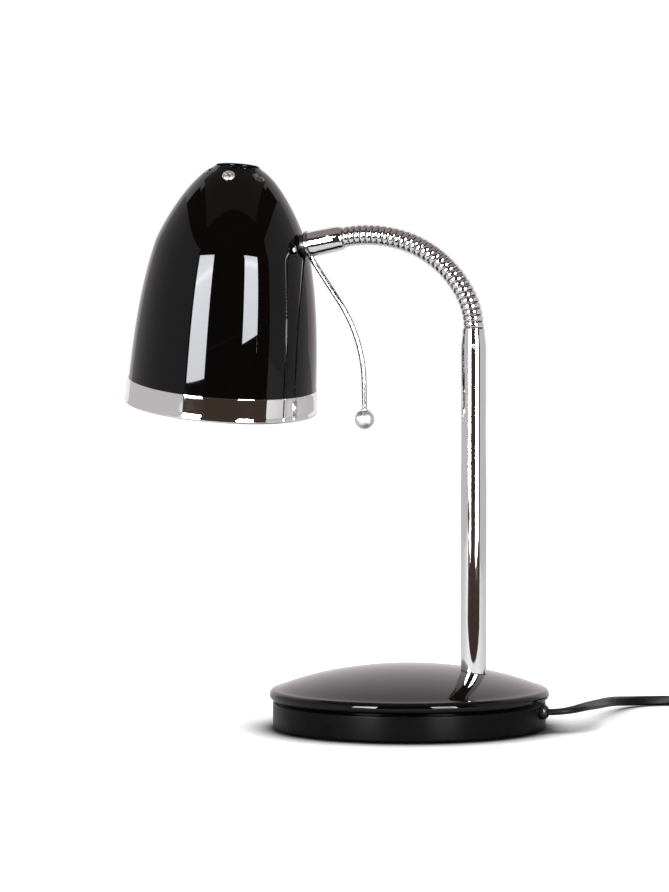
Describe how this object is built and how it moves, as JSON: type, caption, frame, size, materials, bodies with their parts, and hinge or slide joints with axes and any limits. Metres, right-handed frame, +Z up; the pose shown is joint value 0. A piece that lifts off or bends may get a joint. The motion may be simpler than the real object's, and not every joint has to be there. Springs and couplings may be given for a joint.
{
  "type": "desk lamp",
  "caption": "Desk lamp with a weighted round base, straight stem, flexible gooseneck and a swivelling bell shade with a guide handle.",
  "frame": {"origin": "middle of the felt face under the base, on the table", "axes": "+Z up, +X from the middle of the base towards the stem and the mains lead, the shade hangs on the -X side, -Y is the front"},
  "size_m": [0.4485, 0.2676, 0.3538],
  "materials": {
    "gloss_black": "gloss stoved enamel",
    "satin_black": "satin black paint",
    "chrome": "bright chrome plate",
    "satin_chrome": "satin nickel",
    "zinc_steel": "zinc plated steel",
    "cast_iron": "raw casting",
    "brass": "turned brass",
    "felt": "black felt",
    "black_plastic": "moulded black plastic",
    "lead_black": "flexible PVC sheath",
    "bakelite": "moulded holder",
    "bulb_white": "opal glass",
    "bulb_cap_metal": "rolled thread cap"
  },
  "bodies": {
    "base": {"base_cover": "gloss_black", "base_skirt": "satin_black", "base_weight": "cast_iron", "base_plate": "zinc_steel", "base_screws": "zinc_steel", "base_pad": "felt", "stem_tube": "chrome", "stem_bush": "brass", "stem_nipple": "brass", "stem_nut": "zinc_steel", "neck_socket": "zinc_steel", "stem_grub_screw": "zinc_steel", "cord_grommet": "black_plastic", "cord_clip": "black_plastic", "base_lead": "lead_black", "neck_link_01": "chrome", "cord_run": "lead_black", "cord_coil": "lead_black", "cord_ties": "black_plastic", "switch_base": "black_plastic", "switch_cover": "black_plastic", "plug_body": "black_plastic", "plug_pins": "satin_chrome"},
    "neck_02": {"neck_link_02": "chrome"},
    "neck_03": {"neck_link_03": "chrome"},
    "neck_04": {"neck_link_04": "chrome"},
    "neck_05": {"neck_link_05": "chrome"},
    "neck_06": {"neck_link_06": "chrome"},
    "neck_07": {"neck_link_07": "chrome"},
    "neck_08": {"neck_link_08": "chrome"},
    "neck_09": {"neck_link_09": "chrome"},
    "neck_10": {"neck_link_10": "chrome"},
    "neck_11": {"neck_link_11": "chrome"},
    "neck_12": {"neck_link_12": "chrome"},
    "neck_13": {"neck_link_13": "chrome"},
    "neck_14": {"neck_link_14": "chrome"},
    "neck_15": {"neck_link_15": "chrome"},
    "neck_16": {"neck_link_16": "chrome"},
    "neck_17": {"neck_link_17": "chrome"},
    "neck_18": {"neck_link_18": "chrome"},
    "neck_tip": {"neck_link_19": "chrome", "neck_ferrule": "chrome", "swivel_nipple": "brass", "swivel_washer": "zinc_steel", "swivel_nut": "zinc_steel"},
    "head": {"handle_rod": "chrome", "handle_ball": "satin_chrome", "swivel_spacer": "black_plastic", "saddle_washer": "zinc_steel", "shade": "gloss_black", "shade_band": "chrome", "holder_bracket": "zinc_steel", "holder_screws": "satin_chrome", "holder_nut": "brass", "holder_body": "bakelite", "holder_shell": "brass", "bulb_cap": "bulb_cap_metal", "bulb_glass": "bulb_white", "head_lead": "lead_black"},
    "rocker": {"switch_rocker": "black_plastic"}
  },
  "joints": [
    {"name": "neck_bend", "type": "hinge", "parent": "base", "child": "neck_02", "pos_m": [0.0411, 0, 0.25683], "axis": [0, -1, 0], "range_deg": [-8, 2]},
    {"name": "neck_sway", "type": "hinge", "parent": "neck_02", "child": "neck_03", "pos_m": [0.03992, 0, 0.26276], "axis": [0.9656, 0, 0.2599], "range_deg": [-6, 6]},
    {"name": "neck_bend_03", "type": "hinge", "parent": "neck_03", "child": "neck_04", "pos_m": [0.03797, 0, 0.26848], "axis": [0, -1, 0], "range_deg": [-8, 2]},
    {"name": "neck_sway_04", "type": "hinge", "parent": "neck_04", "child": "neck_05", "pos_m": [0.03529, 0, 0.27389], "axis": [0.8708, 0, 0.4917], "range_deg": [-6, 6]},
    {"name": "neck_bend_05", "type": "hinge", "parent": "neck_05", "child": "neck_06", "pos_m": [0.03209, 0, 0.27902], "axis": [0, -1, 0], "range_deg": [-8, 2]},
    {"name": "neck_sway_06", "type": "hinge", "parent": "neck_06", "child": "neck_07", "pos_m": [0.02844, 0, 0.28384], "axis": [0.7692, 0, 0.639], "range_deg": [-6, 6]},
    {"name": "neck_bend_07", "type": "hinge", "parent": "neck_07", "child": "neck_08", "pos_m": [0.02437, 0, 0.28831], "axis": [0, -1, 0], "range_deg": [-8, 2]},
    {"name": "neck_sway_08", "type": "hinge", "parent": "neck_08", "child": "neck_09", "pos_m": [0.01992, 0, 0.2924], "axis": [0.643, 0, 0.7659], "range_deg": [-6, 6]},
    {"name": "neck_bend_09", "type": "hinge", "parent": "neck_09", "child": "neck_10", "pos_m": [0.01512, 0, 0.29608], "axis": [0, -1, 0], "range_deg": [-8, 2]},
    {"name": "neck_sway_10", "type": "hinge", "parent": "neck_10", "child": "neck_11", "pos_m": [0.01001, 0, 0.29931], "axis": [0.4962, 0, 0.8682], "range_deg": [-6, 6]},
    {"name": "neck_bend_11", "type": "hinge", "parent": "neck_11", "child": "neck_12", "pos_m": [0.00463, 0, 0.30207], "axis": [0, -1, 0], "range_deg": [-8, 2]},
    {"name": "neck_sway_12", "type": "hinge", "parent": "neck_12", "child": "neck_13", "pos_m": [-0.00097, 0, 0.30434], "axis": [0.3335, 0, 0.9427], "range_deg": [-6, 6]},
    {"name": "neck_bend_13", "type": "hinge", "parent": "neck_13", "child": "neck_14", "pos_m": [-0.00675, 0, 0.30611], "axis": [0, -1, 0], "range_deg": [-8, 2]},
    {"name": "neck_sway_14", "type": "hinge", "parent": "neck_14", "child": "neck_15", "pos_m": [-0.01265, 0, 0.30743], "axis": [0.1804, 0, 0.9836], "range_deg": [-6, 6]},
    {"name": "neck_bend_15", "type": "hinge", "parent": "neck_15", "child": "neck_16", "pos_m": [-0.01864, 0, 0.30829], "axis": [0, -1, 0], "range_deg": [-8, 2]},
    {"name": "neck_sway_16", "type": "hinge", "parent": "neck_16", "child": "neck_17", "pos_m": [-0.02467, 0, 0.3087], "axis": [0.0292, 0, 0.9996], "range_deg": [-6, 6]},
    {"name": "neck_bend_17", "type": "hinge", "parent": "neck_17", "child": "neck_18", "pos_m": [-0.03071, 0, 0.30864], "axis": [0, -1, 0], "range_deg": [-8, 2]},
    {"name": "neck_sway_18", "type": "hinge", "parent": "neck_18", "child": "neck_tip", "pos_m": [-0.03674, 0, 0.30813], "axis": [-0.1226, 0, 0.9925], "range_deg": [-6, 6]},
    {"name": "head_swivel", "type": "hinge", "parent": "neck_tip", "child": "head", "pos_m": [-0.06863, 0, 0.30193], "axis": [0.9803, 0, 0.1977], "range_deg": [-150, 150]},
    {"name": "switch_rock", "type": "hinge", "parent": "base", "child": "rocker", "pos_m": [0.18, 0.168, 0.0124], "axis": [0, -1, 0], "range_deg": [0, 16]}
  ],
  "couplings": [
    {"joint": "neck_bend_03", "follows": "neck_bend", "ratio": 1},
    {"joint": "neck_sway_04", "follows": "neck_sway", "ratio": 1},
    {"joint": "neck_bend_05", "follows": "neck_bend", "ratio": 1},
    {"joint": "neck_sway_06", "follows": "neck_sway", "ratio": 1},
    {"joint": "neck_bend_07", "follows": "neck_bend", "ratio": 1},
    {"joint": "neck_sway_08", "follows": "neck_sway", "ratio": 1},
    {"joint": "neck_bend_09", "follows": "neck_bend", "ratio": 1},
    {"joint": "neck_sway_10", "follows": "neck_sway", "ratio": 1},
    {"joint": "neck_bend_11", "follows": "neck_bend", "ratio": 1},
    {"joint": "neck_sway_12", "follows": "neck_sway", "ratio": 1},
    {"joint": "neck_bend_13", "follows": "neck_bend", "ratio": 1},
    {"joint": "neck_sway_14", "follows": "neck_sway", "ratio": 1},
    {"joint": "neck_bend_15", "follows": "neck_bend", "ratio": 1},
    {"joint": "neck_sway_16", "follows": "neck_sway", "ratio": 1},
    {"joint": "neck_bend_17", "follows": "neck_bend", "ratio": 1},
    {"joint": "neck_sway_18", "follows": "neck_sway", "ratio": 1}
  ]
}
